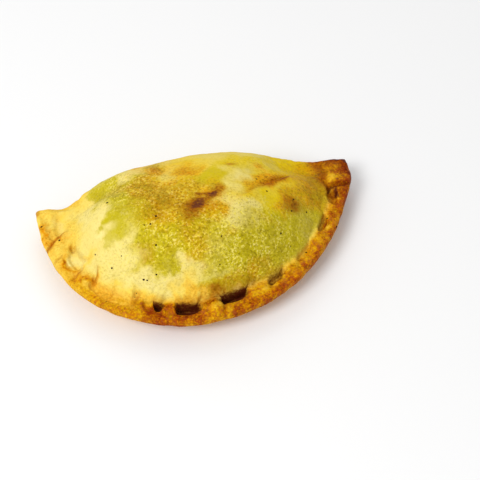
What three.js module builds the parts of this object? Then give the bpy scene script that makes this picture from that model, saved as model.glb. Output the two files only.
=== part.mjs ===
// Empanada: one disc of dough folded over its filling, sealed with thumb crimps and baked.
// Millimetres, +Z up. The fold lies towards +Y, the crimped rim towards -Y, the ears at -X and +X.

import * as THREE from 'three';

// plan of the turnover, measured from the line that joins the two ears
const halfLength = 73.4;
const frontDepth = 76.5;
const frontMiddle = -11;
const earDepth = 2.4;
const foldBulge = 6.8;
const foldBulgeReach = 60;
const leftFullness = { middle: 1.82, ear: 2.2 };
const rightFullness = { middle: 2.14, ear: 1.66 };
const earSquareness = 4.5;
const leftWaist = 2.6;
const rightPuff = 1.3;
const earSoftening = 34;
const outlineBlend = 0.03;

// rim pressed flat between the two layers of dough
const rimHeight = 10.1;
const rimThickness = 5;
const edgeRounding = 2.3;
const ridgeRaise = 1.2;

// filled body
const height = 39.6;
const frontStart = 9.6;
const frontSwell = 2.75;
const earStart = 12;
const earSwell = 2.15;
const foldHeight = 16.8;
const rightDrop = 0.55;
const flatInset = 17;
const foldUnderReach = 13;

// how far the pressed rim runs along the fold from each ear, and where the fold is fully round
const leftEarFlat = 10;
const leftEarBlend = 36;
const rightEarFlat = 8.4;
const rightEarBlend = 43;

// thumb crimps: the ridges between them point at one spot behind the fold; start and end are measured
// in from the edge
const crimpPivot = { x: 8, y: 60 };
const crimpSoftness = 1.2;
const crimpCorner = 1.5;
const crimpEarReach = 69;
const crimps = [
  { angle: -45.4, halfWidth: 4.4, depth: 1.4, start: 5.0, end: 11.8 },
  { angle: -36.0, halfWidth: 4.5, depth: 2.0, start: 5.6, end: 11.0 },
  { angle: -25.4, halfWidth: 9.8, depth: 1.3, start: 2.7, end: 7.8 },
  { angle: -18.2, halfWidth: 2.4, depth: 1.3, start: 3.4, end: 8.2 },
  { angle: -16.2, halfWidth: 2.2, depth: 3.6, start: 4.2, end: 8.6 },
  { angle: -10.7, halfWidth: 5.2, depth: 4.6, start: 3.1, end: 8.7 },
  { angle: -2.1, halfWidth: 6.1, depth: 4.4, start: 5.0, end: 10.2 },
  { angle: 7.4, halfWidth: 4.2, depth: 2.9, start: 4.8, end: 9.4 },
  { angle: 15.6, halfWidth: 5.2, depth: 1.9, start: 4.6, end: 9.0 },
  { angle: 24.2, halfWidth: 3.6, depth: 2.7, start: 5.0, end: 9.8 },
  { angle: 32.6, halfWidth: 2.8, depth: 3.0, start: 4.8, end: 11.0 },
];

// soft hollows and swellings left by the filling and the fingers
const swellings = [
  { x: -36, y: -28, reachX: 16, reachY: 16, rise: 0.6 },
  { x: -4, y: -31, reachX: 9, reachY: 7, rise: -1.0 },
  { x: 6, y: -46, reachX: 15, reachY: 15, rise: 0.9 },
  { x: 20, y: -6, reachX: 13, reachY: 11, rise: 0.9 },
  { x: 36, y: -24, reachX: 12, reachY: 12, rise: -0.8 },
  { x: -12, y: -8, reachX: 12, reachY: 8, rise: -0.7 },
  { x: -4.8, y: -72, reachX: 3.2, reachY: 3.2, rise: 1.9 },
  { x: -57.5, y: -45.4, reachX: 3.8, reachY: 3.8, rise: 1.0 },
  { x: -65, y: -25.8, reachX: 3.4, reachY: 3.4, rise: 0.9 },
  { x: 63, y: -11.4, reachX: 2.5, reachY: 2.4, rise: 1.5 },
  { x: 66, y: -8, reachX: 5, reachY: 7, rise: 0.8 },
  { x: 61.5, y: -18.5, reachX: 2.6, reachY: 2.6, rise: -0.8 },
];

const frontSteps = 148;
const foldSteps = 42;

const backDepth = earDepth + foldBulge;
const halfDepth = (frontDepth + backDepth) / 2;
const centreLine = (backDepth - frontDepth) / 2;
const stretch = 1 - halfDepth / halfLength;
const lipTop = rimHeight + rimThickness / 2;
const lipUnder = rimHeight - rimThickness / 2;

const clamp = (value) => Math.min(Math.max(value, 0), 1);

function ease(value) {
  const t = clamp(value);
  return t * t * (3 - 2 * t);
}

const mix = (from, to, share) => from + (to - from) * share;

const signedPower = (value, power) => Math.sign(value) * Math.abs(value) ** power;

const quarterArch = (share) => Math.sqrt(1 - (1 - clamp(share)) ** 2);

// edge of the turnover seen from above, a different superellipse for the fold and for each front half
function outlinePoint(turn) {
  const across = Math.cos(turn);
  const along = Math.sin(turn);
  const front = along < 0;
  const fullness = across < 0 ? leftFullness : rightFullness;
  const frontFullness = mix(fullness.middle, fullness.ear, Math.abs(across));
  const power = 2 / (front ? frontFullness : earSquareness);
  const middle = front ? frontMiddle : 0;
  const x = middle + (halfLength - Math.sign(across) * middle) * signedPower(across, power);
  const waist = leftWaist * Math.exp(-(((x + 61) / 8) ** 2));
  const bulge = front ? 0 : foldBulge * clamp(1 - (x / foldBulgeReach) ** 2) ** 2 - waist;
  const y = (front ? frontDepth : earDepth) * signedPower(along, power);
  const puff = x > 0 ? rightPuff * Math.exp(-(((y + 11) / 7) ** 2)) : 0;
  return new THREE.Vector2(x + puff, y + bulge);
}

// evenly spaced points along one part of the edge
function spacedOutline(fromTurn, toTurn, steps) {
  const fine = [];
  const fineSteps = steps * 24;
  for (let i = 0; i <= fineSteps; i += 1) {
    fine.push(outlinePoint(mix(fromTurn, toTurn, i / fineSteps)));
  }
  const lengths = [0];
  for (let i = 1; i < fine.length; i += 1) {
    lengths.push(lengths[i - 1] + fine[i].distanceTo(fine[i - 1]));
  }
  const total = lengths[fineSteps];
  const points = [];
  let at = 0;
  for (let i = 0; i < steps; i += 1) {
    const wanted = (total * i) / steps;
    while (lengths[at + 1] < wanted) {
      at += 1;
    }
    const share = (wanted - lengths[at]) / (lengths[at + 1] - lengths[at]);
    points.push(fine[at].clone().lerp(fine[at + 1], share));
  }
  return points;
}

// 1 where the edge is pressed flat, 0 where the dough is simply folded over
function pressedEdge(edge) {
  const behind = ease((edge.y + 6) / 6);
  const flat = edge.x < 0 ? leftEarFlat : rightEarFlat;
  const blend = edge.x < 0 ? leftEarBlend : rightEarBlend;
  const fromEar = halfLength - Math.abs(edge.x);
  return 1 - behind * ease((fromEar - flat) / (blend - flat));
}

// further in, the change from the rim side to the fold side spreads over the whole crown
function rimShare(edge, plan, inset) {
  const frontness = 1 - ease(0.5 + (0.62 * (plan.y - centreLine)) / halfDepth);
  return mix(pressedEdge(edge), frontness, ease((inset - 6) / 24));
}

// the crimp that a point of the plan falls in, and how fully it is pressed there; none along the fold
function crimpAt(edge, plan) {
  const dx = plan.x - crimpPivot.x;
  const dy = crimpPivot.y - plan.y;
  const angle = Math.atan2(dx, dy);
  const reach = Math.hypot(dx, dy);
  const onRim = Math.max(ease((-1 - edge.y) / 3), ease((Math.abs(edge.x) - crimpEarReach) / 3));
  let best = { share: 0, across: 0, depth: 0, start: 5, end: frontStart };
  for (const crimp of crimps) {
    const aside = Math.abs(angle - THREE.MathUtils.degToRad(crimp.angle)) * reach;
    const share = onRim * (1 - ease((aside - crimp.halfWidth + crimpSoftness) / (2 * crimpSoftness)));
    if (share > best.share) {
      const across = Math.min(aside / crimp.halfWidth, 1.1);
      best = { share, across, depth: crimp.depth, start: crimp.start, end: crimp.end };
    }
  }
  return best;
}

function swellingAt(plan) {
  let rise = 0;
  for (const spot of swellings) {
    const away = ((plan.x - spot.x) / spot.reachX) ** 2 + ((plan.y - spot.y) / spot.reachY) ** 2;
    rise += spot.rise * Math.exp(-away);
  }
  return rise;
}

// plan position of a point that lies a given distance in from the edge; the ears round off inwards
function planPoint(edge, inset) {
  const beyond = Math.hypot(edge.x / halfLength, (edge.y - centreLine) / halfDepth) - 1;
  const pullIn = (beyond + Math.hypot(beyond, outlineBlend)) / 2;
  const rounder = mix(1, 1 / (1 + pullIn), ease(inset / earSoftening));
  const share = 1 - inset / halfDepth;
  const x = edge.x * rounder * share * (1 + stretch * (1 - share));
  const y = centreLine + (edge.y - centreLine) * rounder * share;
  return new THREE.Vector2(x, y);
}

// height of the crust over the pressed rim: rounded edge, lip, crimp, then the dome
function rimSideTop(edge, plan, inset) {
  const crimp = crimpAt(edge, plan);
  const nearEar = ease((Math.abs(plan.x) - 36) / 26);
  const foot = mix(frontStart, earStart, nearEar);
  const start = foot + (crimp.end - foot) * crimp.share * (1 - ease((inset - foot) / 4));
  const share = clamp((inset - start) / (halfDepth - start));
  const swell = 1 - (1 - share) ** mix(frontSwell, earSwell, nearEar);
  const edgeShare = 1 - clamp(inset / edgeRounding);
  const rounding = (rimThickness / 2) * Math.sqrt(1 - edgeShare ** 2);
  const corner = crimpCorner * crimp.across ** 4;
  const pressedIn = ease((inset - crimp.start - corner) / 1.8);
  const pressed = pressedIn * (1 - ease((inset - crimp.end + 0.6 + corner) / 1.4));
  const ridge = ease((inset - 2) / 4) * (1 - ease((inset - start) / 4));
  const relief = ridge * (1 - crimp.share) * ridgeRaise - pressed * crimp.share * crimp.depth;
  return rimHeight + rounding + relief + swell * (height - lipTop);
}

function foldSideTop(inset) {
  return foldHeight + (height - foldHeight) * quarterArch(inset / halfDepth);
}

// towards the right ear the crust lies lower
function lowered(level, plan) {
  return level - rightDrop * ease(plan.x / halfLength) * Math.max(level - lipTop, 0);
}

function topHeight(edge, plan, inset) {
  const level = mix(foldSideTop(inset), rimSideTop(edge, plan, inset), rimShare(edge, plan, inset));
  return lowered(level, plan) + swellingAt(plan) * ease(inset / 4);
}

function underHeight(edge, plan, inset) {
  const edgeShare = 1 - clamp(inset / edgeRounding);
  const rounding = (rimThickness / 2) * (1 - Math.sqrt(1 - edgeShare ** 2));
  const fall = ease((inset - 3) / (flatInset - 3));
  const rimSide = (lipUnder + rounding) * (1 - fall);
  const foldSide = lowered(foldHeight, plan) * (1 - quarterArch(inset / foldUnderReach));
  return mix(foldSide, rimSide, pressedEdge(edge));
}

// insets of the rows of points, from the middle of the base out to the edge and back up to the crown
const underInsets = [30, flatInset, 13.5, 10, 7, 4.2, 2, 0.6];
const topInsets = [0, 0.4, 1.3, 3, 4.8, 6.3, 7.8, 8.8, 10, 11.3, 13, 15.5, 19, 23.5, 29, 36];
const foldUnderInsets = [30, flatInset, foldUnderReach, 9.4, 6.2, 3.6, 1.7, 0.5];

function foldInset(row) {
  const share = row / topInsets.length;
  return halfDepth * (1 - Math.cos((share * Math.PI) / 2));
}

function rowPoint(edge, row) {
  const pressed = pressedEdge(edge);
  const under = row < underInsets.length;
  const at = under ? row : row - underInsets.length;
  const inset = under
    ? mix(foldUnderInsets[at], underInsets[at], pressed)
    : mix(foldInset(at), topInsets[at], pressed);
  const plan = planPoint(edge, inset);
  const level = under ? underHeight(edge, plan, inset) : topHeight(edge, plan, inset);
  return new THREE.Vector3(plan.x, plan.y, level);
}

function crustGeometry() {
  const edge = [
    ...spacedOutline(-Math.PI, 0, frontSteps),
    ...spacedOutline(0, Math.PI, foldSteps),
  ];
  const around = edge.length;
  const rows = underInsets.length + topInsets.length;
  const positions = [];
  for (let row = 0; row < rows; row += 1) {
    for (const corner of edge) {
      positions.push(...rowPoint(corner, row).toArray());
    }
  }
  const baseCentre = rows * around;
  const crown = baseCentre + 1;
  positions.push(0, centreLine, 0);
  positions.push(0, centreLine, height + swellingAt(new THREE.Vector2(0, centreLine)));

  const indices = [];
  for (let i = 0; i < around; i += 1) {
    const next = (i + 1) % around;
    indices.push(baseCentre, next, i);
    for (let row = 0; row < rows - 1; row += 1) {
      const a = row * around + i;
      const b = row * around + next;
      const c = a + around;
      const d = b + around;
      indices.push(a, b, d);
      indices.push(a, d, c);
    }
    const last = (rows - 1) * around;
    indices.push(last + i, last + next, crown);
  }

  const geometry = new THREE.BufferGeometry();
  geometry.setAttribute('position', new THREE.Float32BufferAttribute(positions, 3));
  geometry.setIndex(indices);
  geometry.computeBoundingBox();
  const box = geometry.boundingBox;
  geometry.translate(-(box.min.x + box.max.x) / 2, -(box.min.y + box.max.y) / 2, 0);
  geometry.computeVertexNormals();
  return geometry;
}

const crustMaterial = new THREE.MeshStandardMaterial({ color: 0xd9b650, roughness: 0.7 });
const empanada = new THREE.Mesh(crustGeometry(), crustMaterial);
empanada.name = 'empanada';

const group = new THREE.Group();
group.name = 'empanada_part';
group.add(empanada);

export default group;
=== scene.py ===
import math

import bpy
import numpy as np
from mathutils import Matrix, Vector


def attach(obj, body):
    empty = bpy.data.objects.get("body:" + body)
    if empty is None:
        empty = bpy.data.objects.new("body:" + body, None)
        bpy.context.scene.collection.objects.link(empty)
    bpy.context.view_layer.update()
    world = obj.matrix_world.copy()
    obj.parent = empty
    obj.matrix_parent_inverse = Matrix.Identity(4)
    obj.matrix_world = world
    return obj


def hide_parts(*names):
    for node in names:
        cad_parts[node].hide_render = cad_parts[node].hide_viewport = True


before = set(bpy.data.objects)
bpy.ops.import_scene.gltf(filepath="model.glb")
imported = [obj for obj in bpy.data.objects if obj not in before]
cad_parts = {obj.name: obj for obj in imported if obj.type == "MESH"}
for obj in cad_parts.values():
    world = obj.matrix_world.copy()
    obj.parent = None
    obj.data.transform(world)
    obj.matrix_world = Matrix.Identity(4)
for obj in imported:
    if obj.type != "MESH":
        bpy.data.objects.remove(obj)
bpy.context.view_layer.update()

# Empanada: one disc of dough folded over its filling, thumb-crimped and baked.
# All sizes are millimetres until the mesh is made. The fold is towards +Y, the crimped rim towards -Y.
# Plan places are measured from the middle of the line that joins the two ears.


def ease(value):
    # 0 to 1 with a smooth start and end
    t = np.clip(value, 0.0, 1.0)
    return t * t * (3.0 - 2.0 * t)


def eased(value, start, reach):
    # 0 up to the start, 1 once past it by the reach
    return ease((value - start) / reach)


def mix(low, high, share):
    # straight blend of two values
    return low + (high - low) * share


def signedPower(value, power):
    # power of the size, with the sign kept
    return np.sign(value) * abs(value) ** power


def waves(points, length, seed, count=16):
    # smooth unevenness of about -1 to 1: sines of mixed lengths in mixed directions through space
    rng = np.random.default_rng(seed)
    ways = rng.normal(size=(count, 3))
    ways /= np.linalg.norm(ways, axis=1, keepdims=True)
    total = np.zeros(points.shape[:-1])
    for way, phase, size in zip(ways, rng.uniform(0, 2 * np.pi, count), rng.uniform(0.65, 1.5, count)):
        total += np.sin(points @ way * 2 * np.pi / (length * size) + phase)
    return total / math.sqrt(count)


def bump(value, rise, middle, reach):
    # bell: rise times e to the minus (distance from the middle in reaches, squared)
    return rise * np.exp(-((value - middle) / reach) ** 2)


def blob(x, y, spot, firmness=1.0):
    # soft oval: its strength times e to the minus (squared distance in its own radii), steeper when firm
    placeX, placeY, halfLength, halfWidth, strength, *turn = spot
    angle = math.radians(sum(turn))
    dx, dy = x - placeX, y - placeY
    along = (dx * math.cos(angle) + dy * math.sin(angle)) / halfLength
    across = (dy * math.cos(angle) - dx * math.sin(angle)) / halfWidth
    return strength * np.exp(-(along ** 2 + across ** 2) ** firmness)


def strokeDistance(x, y, path):
    # distance from a line of straight strokes, positive on its left, and how far along it the nearest point is
    best = np.full(np.shape(x), 1e9)
    side, along = np.ones(np.shape(x)), np.zeros(np.shape(x))
    for piece, (start, end) in enumerate(zip(path[:-1], path[1:])):
        sx, sy = end[0] - start[0], end[1] - start[1]
        share = np.clip(((x - start[0]) * sx + (y - start[1]) * sy) / (sx * sx + sy * sy), 0, 1)
        away = np.hypot(x - start[0] - share * sx, y - start[1] - share * sy)
        nearer = away < best
        best = np.where(nearer, away, best)
        side = np.where(nearer, np.sign(sx * (y - start[1]) - sy * (x - start[0])), side)
        along = np.where(nearer, (piece + share) / (len(path) - 1), along)
    return best * side, along


crust = dict(
    halfLength=73.4, frontDepth=76.5, earDepth=2.4, foldBulge=6.8, foldReach=60,
    frontMiddle=-11, leftFullness=(1.82, 2.2), rightFullness=(2.14, 1.66), earSquareness=4.5,
    leftWaist=(2.6, -61, 8), rightPuff=(1.3, -11, 7),  # how far, where, reach
    earSoftening=34, earRadius=0.03,
    rimHeight=10.1, rimThickness=5, edgeRounding=2.3, edgeBluntness=2.4, ridgeRaise=1.2,
    height=39.6, frontStart=9.6, frontSwell=2.75, earStart=12, earSwell=2.15,
    foldHeight=16.8, rightDrop=0.55, flatInset=17, foldUnderReach=13,
    leftEar=(10, 36), rightEar=(8.4, 43),  # where the pressed rim ends, where the fold is round
    frontSteps=600, foldSteps=160, edgeRows=20, underRows=15, topRows=90,
    baseInset=30, crownGap=0.5, underSpacing=1.25, topSpacing=(2.4, 0.45), foldWrap=1.5,
    # where each change starts and the length that it takes
    backEdge=(-6, 6), frontEdge=(1, 3), nearEar=(36, 26), underRise=3, ridge=(2, 4),
    rimBlend=(6, 24), frontLean=0.62, domeRelief=(1, 12), flatBase=(0.02, 3), reliefRows=12,
    # thumb presses: angle from straight ahead about the pivot, half width, depth, insets of start and end
    crimpPivot=(8, 60),
    crimps=[
        (-45.4, 4.4, 1.4, 5, 11.8), (-36, 4.5, 2, 5.6, 11), (-25.4, 9.8, 1.3, 2.7, 7.8),
        (-18.2, 2.4, 1.3, 3.4, 8.2), (-16.2, 2.2, 3.6, 4.2, 8.6), (-10.7, 5.2, 4.6, 3.1, 8.7),
        (-2.1, 6.1, 4.4, 5, 10.2), (7.4, 4.2, 2.9, 4.8, 9.4), (15.6, 5.2, 1.9, 4.6, 9),
        (24.2, 3.6, 2.7, 5, 9.8), (32.6, 2.8, 3, 4.8, 11),
    ],
    crimpWall=dict(side=2.4, outer=1.8, inner=1.4, corner=1.5, cornerEnd=1.1, back=0.6, behind=4,
                   overhang=1.6, overhangAt=0.9, overhangReach=1.3),
    crimpedEars=(69, 3), uncrimpedStart=5,
    crimpWander=(0.45, 4.5, 13),  # how far their walls stray, wave length, seed
    # hollows and swellings that the filling and the fingers leave: place, half length, half width, rise, turn
    swellings=[
        (-36, -28, 16, 16, 0.6), (-4, -31, 10, 6, -1, 35), (6, -46, 15, 15, 0.9), (20, -6, 13, 11, 0.9),
        (36, -24, 12, 12, -0.8), (-12, -8, 12, 8, -0.7, 10), (-4.8, -72, 3.2, 3.2, 1.9),
        (-57.5, -45.4, 5, 2.8, 1, 40), (-65, -25.8, 4.6, 2.2, 0.9, 43), (63, -11.4, 2.5, 2.4, 1.5),
        (66, -8, 5, 7, 0.8), (61.5, -18.5, 2.6, 2.6, -0.8),
    ],
    # creases: path, depth, half width, and how much higher the right side of the path stands
    creases=[
        ([(-71.4, -24.4), (-66, -19.2), (-61, -14.6)], 0.7, 0.8, 0.7),
        ([(-69.2, -4), (-69, -12), (-68, -20)], 0.3, 1.4, 0),
        ([(-65.2, -27), (-63.2, -34), (-60.6, -41)], 0.4, 1.3, 0),
        ([(-62, -44.2), (-60.2, -40.6), (-55.6, -37.4)], 0.6, 0.8, 0),
        ([(-59, -24.4), (-60.4, -27.4)], 0.5, 0.9, 0), ([(-68.4, -31), (-65.4, -29.6)], 0.5, 0.8, 0),
        ([(-51, -43.4), (-55, -48.2), (-54.8, -50.8)], 0.7, 0.8, 0),
        ([(-57.4, -51), (-51, -56.6), (-44.5, -62.4)], 0.35, 1.2, 0),
        ([(-35.6, -57.4), (-38.8, -62.6), (-41.6, -66.4)], 0.55, 0.9, 0),
        ([(-1.4, -66.5), (-1, -71), (-1.8, -76.2)], 0.6, 0.5, 0),
        ([(-6, -64.6), (-2, -65.6), (0.5, -66.2)], 0.6, 0.6, 0.4),
        ([(15, -33), (24, -27.5), (31, -22.2)], 0.5, 1.6, 0.3),
        ([(30.5, -22.4), (36, -18.6), (41.5, -14)], 0.8, 0.5, 0.5),
        ([(59.6, 1), (60.4, -4), (60.2, -10), (58.6, -16)], 0.5, 0.8, 0),
        ([(71.5, -14), (67.4, -15.6), (63, -15.4), (58.6, -17.4)], 0.8, 0.8, 1.1),
    ],
    # unevenness: height on the flat rim and on the dome, wave length, seed, number of waves
    unevenness=[(0.16, 0.16, 17, 3, 16), (0.20, 0.07, 6.5, 5, 16), (0.10, 0.035, 2.7, 7, 28)],
    underUnevenness=(0.12, 8, 11), pocketEvenness=0.4, pocketDepth=(2.5, 1.5),
    creaseEnds=0.12, creaseStep=(2.6, 0.5),
    evenedBesideEars=dict(share=0.5, columns=12, fade=36, fromInset=5, insetReach=14, rounds=300),
)

backDepth = crust["earDepth"] + crust["foldBulge"]
halfDepth = (crust["frontDepth"] + backDepth) / 2
centreLine = (backDepth - crust["frontDepth"]) / 2
stretch = 1 - halfDepth / crust["halfLength"]
lipTop = crust["rimHeight"] + crust["rimThickness"] / 2
lipUnder = crust["rimHeight"] - crust["rimThickness"] / 2


def edgeOutline(turn):
    # plan of the edge: superellipses joined at the ears, one for the fold and one blended for the front
    c, s = np.cos(turn), np.sin(turn)
    front = s < 0
    leftPower = mix(*crust["leftFullness"], abs(c))
    rightPower = mix(*crust["rightFullness"], abs(c))
    power = 2 / np.where(front, np.where(c < 0, leftPower, rightPower), crust["earSquareness"])
    middle = np.where(front, crust["frontMiddle"], 0)
    x = middle + (crust["halfLength"] - np.sign(c) * middle) * signedPower(c, power)
    bulge = crust["foldBulge"] * np.clip(1 - (x / crust["foldReach"]) ** 2, 0, 1) ** 2
    waist = bump(x, *crust["leftWaist"])
    y = np.where(front, crust["frontDepth"], crust["earDepth"]) * signedPower(s, power)
    puff = bump(y, *crust["rightPuff"]) * (x > 0)
    return x + puff, y + np.where(front, 0, bulge - waist)


def spacedEdge(fromTurn, toTurn, steps):
    # the outline walked in equal steps
    x, y = edgeOutline(np.linspace(fromTurn, toTurn, steps * 24 + 1))
    walked = np.concatenate([[0], np.cumsum(np.hypot(np.diff(x), np.diff(y)))])
    stops = np.linspace(0, walked[-1], steps, endpoint=False)
    return np.interp(stops, walked, x), np.interp(stops, walked, y)


def pressedEdge(ex, ey):
    # 1 where the edge is pressed flat, 0 where the dough is simply folded over
    flat = np.where(ex < 0, crust["leftEar"][0], crust["rightEar"][0])
    blend = np.where(ex < 0, crust["leftEar"][1], crust["rightEar"][1])
    fromEar = crust["halfLength"] - abs(ex)
    return 1 - eased(ey, *crust["backEdge"]) * ease((fromEar - flat) / (blend - flat))


def crimpField(x, y):
    # share: how fully each plan point is inside a thumb press; then that press's depth, way across and insets
    dx, dy = x - crust["crimpPivot"][0], crust["crimpPivot"][1] - y
    angle, reach = np.arctan2(dx, dy), np.hypot(dx, dy)
    field = {name: np.zeros_like(angle) for name in ("share", "depth", "across")}
    field["outer"] = np.full_like(angle, crust["uncrimpedStart"])
    field["inner"] = np.full_like(angle, crust["frontStart"])
    wall = crust["crimpWall"]["side"]
    stray, *shape = crust["crimpWander"]
    astray = stray * waves(np.stack([x, y, np.zeros_like(x)], axis=-1), *shape)
    for middle, halfWidth, deep, outer, inner in crust["crimps"]:
        aside = (angle - math.radians(middle)) * reach + astray
        here = 1 - ease((abs(aside) - halfWidth + wall / 2) / wall)
        inside = here > field["share"]
        for name, value in (("share", here), ("depth", deep), ("across", aside / halfWidth),
                            ("outer", outer), ("inner", inner)):
            field[name] = np.where(inside, value, field[name])
    return field


def planPoint(ex, ey, inset):
    # a point that lies a given distance in from the edge; the ears round off inwards
    beyond = np.hypot(ex / crust["halfLength"], (ey - centreLine) / halfDepth) - 1
    beyond = (beyond + np.hypot(beyond, crust["earRadius"])) / 2
    rounder = mix(1, 1 / (1 + beyond), ease(inset / crust["earSoftening"]))
    share = 1 - inset / halfDepth
    return ex * rounder * share * (1 + stretch * (1 - share)), centreLine + (ey - centreLine) * rounder * share


def domeStart(x, inset, press):
    # inset where the dome starts to rise, further in behind a deep press, and how steeply it swells there
    nearEar = eased(abs(x), *crust["nearEar"])
    start = mix(crust["frontStart"], crust["earStart"], nearEar)
    fading = 1 - eased(inset, start, crust["crimpWall"]["behind"])
    behind = (press["inner"] - start) * press["share"] * fading
    return start + behind, mix(crust["frontSwell"], crust["earSwell"], nearEar)


def lowered(level, x):
    # towards the right ear the crust lies lower
    return level - np.maximum(level - lipTop, 0) * crust["rightDrop"] * ease(x / crust["halfLength"])


def topHeight(ex, ey, x, y, inset, press):
    # rim side: flat lip with a ridge, thumb presses taken away, then a swell to the crown;
    # fold side: quarter ellipse from the fold to the crown; blended by how far towards the front
    wall = crust["crimpWall"]
    start, swellPower = domeStart(x, inset, press)
    swell = 1 - (1 - np.clip((inset - start) / (halfDepth - start), 0, 1)) ** swellPower
    corner = wall["corner"] * np.minimum(abs(press["across"]), wall["cornerEnd"]) ** 4
    rising = ease((inset - press["outer"] - corner) / wall["outer"])
    pressed = rising * (1 - ease((inset - press["inner"] + wall["back"] + corner) / wall["inner"]))
    ridge = eased(inset, *crust["ridge"]) * (1 - eased(inset, start, crust["ridge"][1]))
    relief = ridge * (1 - press["share"]) * crust["ridgeRaise"] - pressed * press["share"] * press["depth"]
    rimSide = lipTop + relief + swell * (crust["height"] - lipTop)
    fall = 1 - np.clip(inset / halfDepth, 0, 1)
    foldSide = crust["foldHeight"] + (crust["height"] - crust["foldHeight"]) * np.sqrt(1 - fall ** 2)
    frontness = 1 - ease(0.5 + crust["frontLean"] * (y - centreLine) / halfDepth)
    rimShare = mix(pressedEdge(ex, ey), frontness, eased(inset, *crust["rimBlend"]))
    return lowered(mix(foldSide, rimSide, rimShare), x)


def underHeight(ex, ey, x, inset):
    # rim side: eases down from the underside of the lip to the flat base; fold side: quarter ellipse
    flatReach = crust["flatInset"] - crust["underRise"]
    rimSide = lipUnder * (1 - eased(inset, crust["underRise"], flatReach))
    fall = 1 - np.clip(inset / crust["foldUnderReach"], 0, 1)
    foldSide = lowered(crust["foldHeight"], x) * (1 - np.sqrt(1 - fall ** 2))
    return mix(foldSide, rimSide, pressedEdge(ex, ey))


def crustSurface():
    # rows run from the base, round the edge and up to the crown; columns run round the edge
    front = spacedEdge(-np.pi, 0, crust["frontSteps"])
    fold = spacedEdge(0, np.pi, crust["foldSteps"])
    ex, ey = (np.concatenate(pair)[None, :] for pair in zip(front, fold))
    halfEdge = crust["edgeRows"] // 2
    underCount, topCount = crust["underRows"], crust["topRows"]
    rounding, blunt = crust["edgeRounding"], crust["edgeBluntness"]
    baseReach, crownReach = crust["baseInset"], halfDepth - crust["crownGap"]

    # rim side: even steps up the rounded edge, then steps inwards that widen
    turn = np.linspace(-np.pi / 2, np.pi / 2, 2 * halfEdge + 1)
    climb = signedPower(np.sin(turn), 2 / blunt)
    edgeInset = rounding * (1 - abs(np.cos(turn)) ** (2 / blunt))
    underStep = np.linspace(1, 0, underCount, endpoint=False)
    underInset = rounding + (baseReach - rounding) * underStep ** crust["underSpacing"]
    topStep = np.linspace(0, 1, topCount + 1)[1:]
    widening, wideningShare = crust["topSpacing"]
    topInset = rounding + (crownReach - rounding) * mix(topStep, topStep ** widening, wideningShare)
    rimInset = np.concatenate([underInset, edgeInset, topInset])[:, None]
    climb = np.concatenate([np.full(underCount, -1), climb, np.full(topCount, 1)])[:, None]

    # fold side: even turns round the fold, then on along the flat base
    underTurn = np.linspace(crust["foldWrap"], 0, underCount + halfEdge, endpoint=False)
    underFold = crust["foldUnderReach"] * (1 - np.cos(np.minimum(underTurn, 1) * np.pi / 2))
    underFold += np.maximum(underTurn - 1, 0) * 2 * (baseReach - crust["foldUnderReach"])
    topTurn = np.linspace(0, 1, topCount + halfEdge + 1)
    topFold = crownReach * (1 - np.cos(topTurn * np.pi / 2))
    foldInset = np.concatenate([underFold, topFold])[:, None]

    pressed = pressedEdge(ex, ey)
    inset = mix(foldInset, rimInset, pressed)
    x, y = planPoint(ex, ey, inset)
    press = crimpField(x, y)
    # there are none along the fold
    press["share"] *= np.maximum(eased(-ey, *crust["frontEdge"]), eased(abs(ex), *crust["crimpedEars"]))
    fromEdge = np.arange(inset.shape[0])[:, None] - underCount - halfEdge
    top = fromEdge > 0
    zTop = topHeight(ex, ey, x, y, inset, press)
    zUnder = underHeight(ex, ey, x, inset)
    # the rounded edge joins the two heights
    rimMiddle = mix(lowered(crust["foldHeight"], x), crust["rimHeight"], pressed)
    onTop, below = mix(1, climb, pressed), mix(1, -climb, pressed)
    z = np.where(top, mix(rimMiddle, zTop, onTop), mix(rimMiddle, zUnder, below))
    # the dough above a deep press leans out over it
    wall, deepest = crust["crimpWall"], max(crimp[2] for crimp in crust["crimps"])
    lean = bump(inset - press["inner"], 1, wall["overhangAt"], wall["overhangReach"])
    overhang = wall["overhang"] * press["share"] * lean * press["depth"] / deepest * top
    x, y = planPoint(ex, ey, inset - overhang)
    topShare = eased(fromEdge, -crust["reliefRows"] / 2, crust["reliefRows"])
    grown = dict(x=x, y=y, z=z, inset=inset, pressed=pressed, top=top, topShare=topShare, ey=ey, **press)
    return {name: value + 0 * x for name, value in grown.items()}


surface = crustSurface()
print("crust grid", surface["x"].shape)


def gridNormals(points):
    # cross product of the steps along rows and columns; columns wrap round
    along = np.roll(points, -1, axis=1) - np.roll(points, 1, axis=1)
    up = np.gradient(points, axis=0)
    normal = np.cross(along, up)
    return normal / np.maximum(np.linalg.norm(normal, axis=2, keepdims=True), 1e-9)


def handRelief(points, surface):
    # swellings, creases and unevenness, as a height along the normal
    x, y = points[..., 0], points[..., 1]
    body = eased(points[..., 2] - lipTop, *crust["domeRelief"])
    rise = sum(blob(x, y, spot) for spot in crust["swellings"])
    ending = crust["creaseEnds"]
    stepReach, stepEdge = crust["creaseStep"]
    for path, depth, halfWidth, step in crust["creases"]:
        away, along = strokeDistance(x, y, path)
        ends = ease(along / ending) * ease((1 - along) / ending)
        rise -= depth * ends * np.exp(-(away / halfWidth) ** 2)
        stepShape = np.exp(-(away / stepReach) ** 2) * (1 - np.exp(-(away / stepEdge) ** 2))
        rise += step * ends * (away < 0) * stepShape
    uneven = sum(mix(low, high, body) * waves(points, *shape) for low, high, *shape in crust["unevenness"])
    inPocket = surface["share"] * eased(surface["depth"], *crust["pocketDepth"])
    inPocket *= ease(surface["inner"] - surface["inset"])
    above = rise + uneven * (1 - crust["pocketEvenness"] * inPocket)
    height, *shape = crust["underUnevenness"]
    return mix(height * waves(points, *shape), above, surface["topShare"])


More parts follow.
